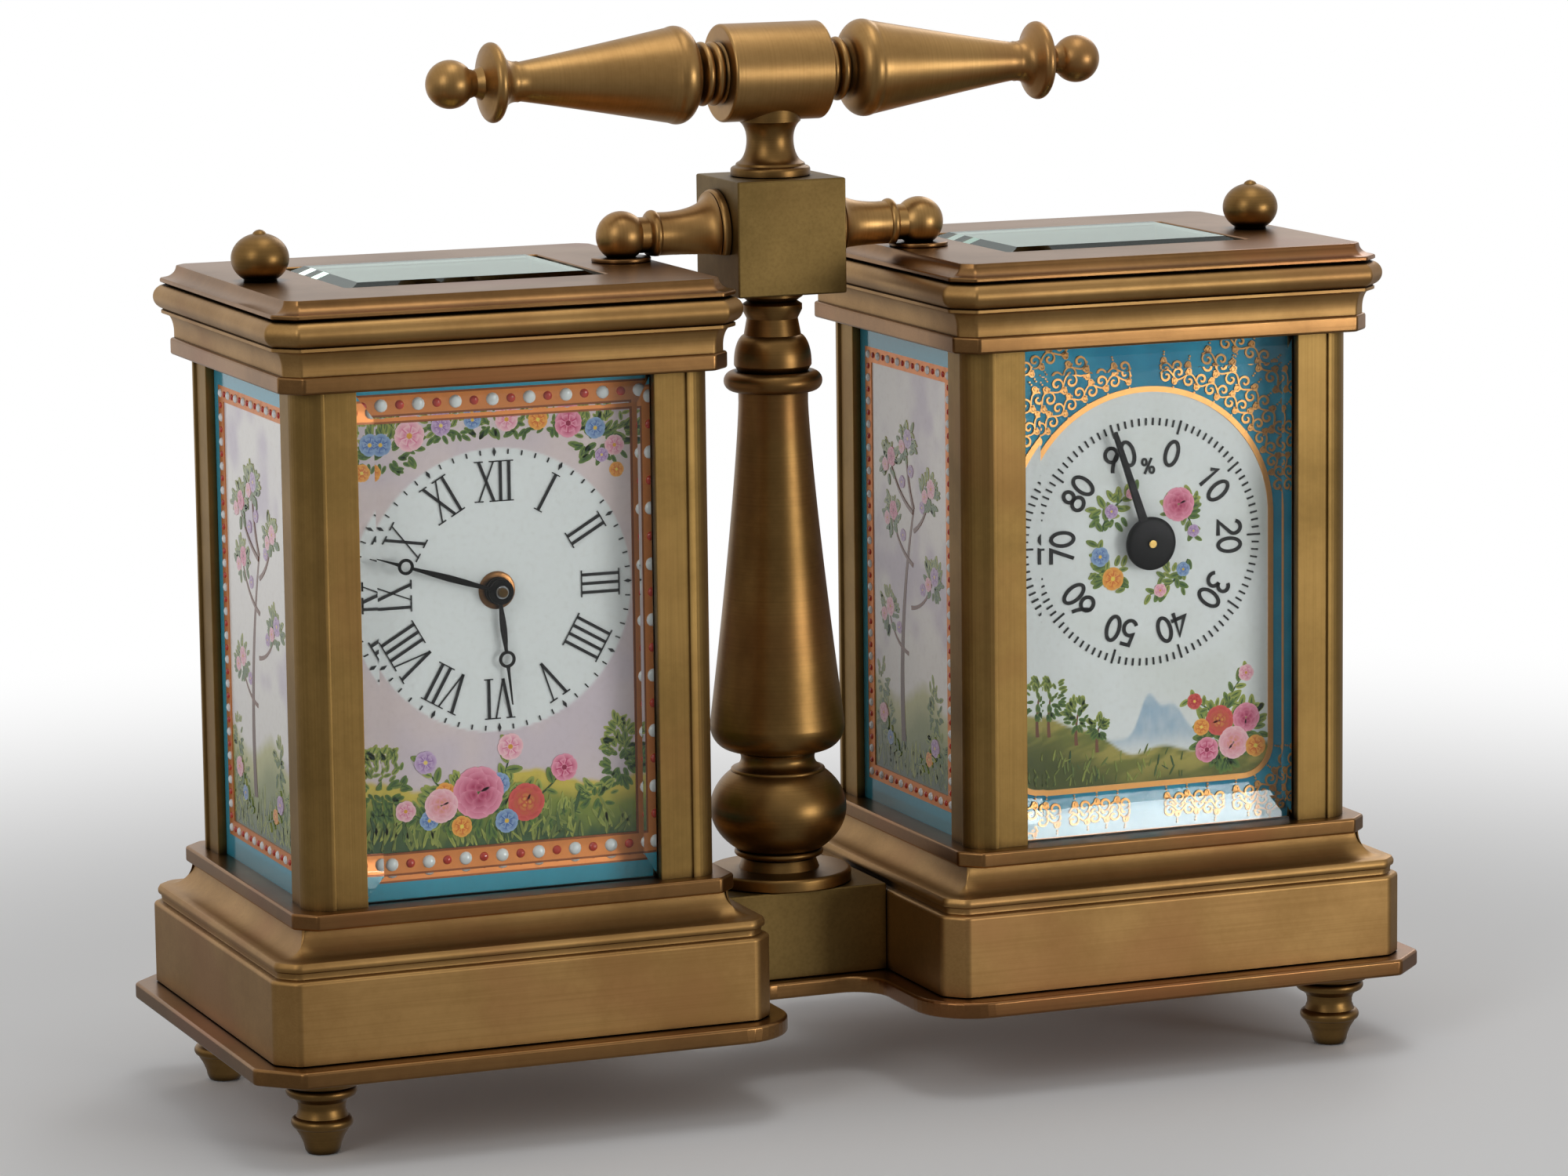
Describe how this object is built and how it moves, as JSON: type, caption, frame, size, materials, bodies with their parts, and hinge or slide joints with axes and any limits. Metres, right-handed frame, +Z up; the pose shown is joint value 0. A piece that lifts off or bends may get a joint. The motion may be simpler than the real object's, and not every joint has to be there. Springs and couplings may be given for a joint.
{
  "type": "barometer clock",
  "caption": "Twin-case brass desk set: a carriage clock and a dial weather instrument on one base, joined by a turned column with a cross handle.",
  "frame": {"origin": "middle of the footprint, on the surface that the feet stand on", "axes": "+X to the right across both dials, +Y from the dials to the rear doors, +Z up"},
  "size_m": [0.1402, 0.055, 0.1193],
  "materials": {
    "aged_brass": "turned and filed brass with an aged brown patina",
    "coppery_brass": "aged brass plate with coppery edges",
    "gilt_brass": "bright lacquered movement brass",
    "bright_steel": "bright steel",
    "blackened_steel": "blackened steel",
    "clear_glass": "clear bevelled glass",
    "white_porcelain": "glazed painted porcelain dial",
    "painted_porcelain": "glazed painted porcelain panel"
  },
  "bodies": {
    "frame": {"base_plate": "coppery_brass", "feet": "aged_brass", "link_block": "aged_brass", "tie_rod": "bright_steel", "tie_nut": "aged_brass", "column": "aged_brass", "head_cube": "aged_brass", "handle_stem": "aged_brass", "handle_barrel": "aged_brass", "handle_grips": "aged_brass", "case_arms": "aged_brass", "arm_washers": "coppery_brass", "arm_studs": "bright_steel", "finials": "aged_brass", "floor_plates": "coppery_brass", "cornice_plates": "coppery_brass", "lid_glasses": "clear_glass", "front_glasses": "clear_glass", "clock_plinth": "aged_brass", "clock_posts": "aged_brass", "clock_cornice": "aged_brass", "clock_lid": "coppery_brass", "clock_panels": "painted_porcelain", "clock_dial": "white_porcelain", "weather_plinth": "aged_brass", "weather_posts": "aged_brass", "weather_cornice": "aged_brass", "weather_lid": "coppery_brass", "weather_panels": "painted_porcelain", "weather_dial": "white_porcelain", "front_movement_plate": "gilt_brass", "rear_movement_plate": "gilt_brass", "plate_pillars": "gilt_brass", "escapement_platform": "gilt_brass", "balance_cock": "gilt_brass", "dial_collar": "coppery_brass", "coil_housing": "gilt_brass", "humidity_coil": "coppery_brass"},
    "clock_door_body": {"clock_door": "aged_brass", "clock_door_glass": "clear_glass", "clock_door_knob": "gilt_brass"},
    "weather_door_body": {"weather_door": "aged_brass", "weather_door_glass": "clear_glass", "weather_door_knob": "gilt_brass"},
    "barrel_body": {"mainspring_barrel": "gilt_brass"},
    "winding_body": {"winding_arbor": "bright_steel"},
    "centre_body": {"centre_wheel": "gilt_brass"},
    "third_body": {"third_wheel": "gilt_brass"},
    "contrate_body": {"contrate_wheel": "gilt_brass"},
    "escape_body": {"escape_wheel": "gilt_brass"},
    "lever_body": {"pallet_lever": "bright_steel"},
    "balance_body": {"balance_wheel": "gilt_brass", "balance_spring": "blackened_steel"},
    "minute_hand_body": {"cannon_pinion": "bright_steel", "minute_hand": "blackened_steel"},
    "minute_wheel_body": {"minute_wheel": "gilt_brass"},
    "hour_hand_body": {"hour_wheel": "gilt_brass", "hour_hand": "blackened_steel"},
    "pointer_body": {"pointer_staff": "gilt_brass", "weather_pointer": "blackened_steel"}
  },
  "joints": [
    {"name": "clock_door_hinge", "type": "hinge", "parent": "frame", "child": "clock_door_body", "pos_m": [-0.05435, 0.0192, 0.055], "axis": [0, 0, 1], "range_deg": [0, 95]},
    {"name": "weather_door_hinge", "type": "hinge", "parent": "frame", "child": "weather_door_body", "pos_m": [0.02365, 0.0192, 0.055], "axis": [0, 0, 1], "range_deg": [0, 95]},
    {"name": "contrate_turn", "type": "hinge", "parent": "frame", "child": "contrate_body", "pos_m": [-0.033, 0, 0.06864], "axis": [0, 1, 0], "continuous": true},
    {"name": "third_turn", "type": "hinge", "parent": "frame", "child": "third_body", "pos_m": [-0.04194, 0, 0.06967], "axis": [0, 1, 0], "continuous": true},
    {"name": "centre_turn", "type": "hinge", "parent": "frame", "child": "centre_body", "pos_m": [-0.039, 0, 0.0599], "axis": [0, 1, 0], "continuous": true},
    {"name": "barrel_turn", "type": "hinge", "parent": "frame", "child": "barrel_body", "pos_m": [-0.039, 0, 0.04555], "axis": [0, 1, 0], "continuous": true},
    {"name": "escape_turn", "type": "hinge", "parent": "frame", "child": "escape_body", "pos_m": [-0.033, 0.00069, 0.08], "axis": [0, 0, 1], "continuous": true},
    {"name": "winding_turn", "type": "hinge", "parent": "frame", "child": "winding_body", "pos_m": [-0.039, 0, 0.04555], "axis": [0, 1, 0], "range_deg": [0, 1440]},
    {"name": "lever_rock", "type": "hinge", "parent": "frame", "child": "lever_body", "pos_m": [-0.0376, 0.00069, 0.08], "axis": [0, 0, 1], "range_deg": [-5, 5]},
    {"name": "balance_swing", "type": "hinge", "parent": "frame", "child": "balance_body", "pos_m": [-0.0422, 0.00069, 0.08], "axis": [0, 0, 1], "range_deg": [-135, 135]},
    {"name": "minute_hand_turn", "type": "hinge", "parent": "frame", "child": "minute_hand_body", "pos_m": [-0.039, 0, 0.0599], "axis": [0, 1, 0], "continuous": true},
    {"name": "minute_wheel_turn", "type": "hinge", "parent": "frame", "child": "minute_wheel_body", "pos_m": [-0.039, 0, 0.0551], "axis": [0, 1, 0], "continuous": true},
    {"name": "hour_hand_turn", "type": "hinge", "parent": "frame", "child": "hour_hand_body", "pos_m": [-0.039, 0, 0.0599], "axis": [0, 1, 0], "continuous": true},
    {"name": "pointer_turn", "type": "hinge", "parent": "frame", "child": "pointer_body", "pos_m": [0.039, 0, 0.0599], "axis": [0, 1, 0], "range_deg": [-323, 0]}
  ],
  "couplings": [
    {"joint": "third_turn", "follows": "contrate_turn", "ratio": -0.125},
    {"joint": "centre_turn", "follows": "contrate_turn", "ratio": 0.016667},
    {"joint": "barrel_turn", "follows": "contrate_turn", "ratio": -0.0023148},
    {"joint": "escape_turn", "follows": "contrate_turn", "ratio": 8},
    {"joint": "minute_wheel_turn", "follows": "minute_hand_turn", "ratio": -0.33333},
    {"joint": "hour_hand_turn", "follows": "minute_hand_turn", "ratio": 0.083333}
  ]
}
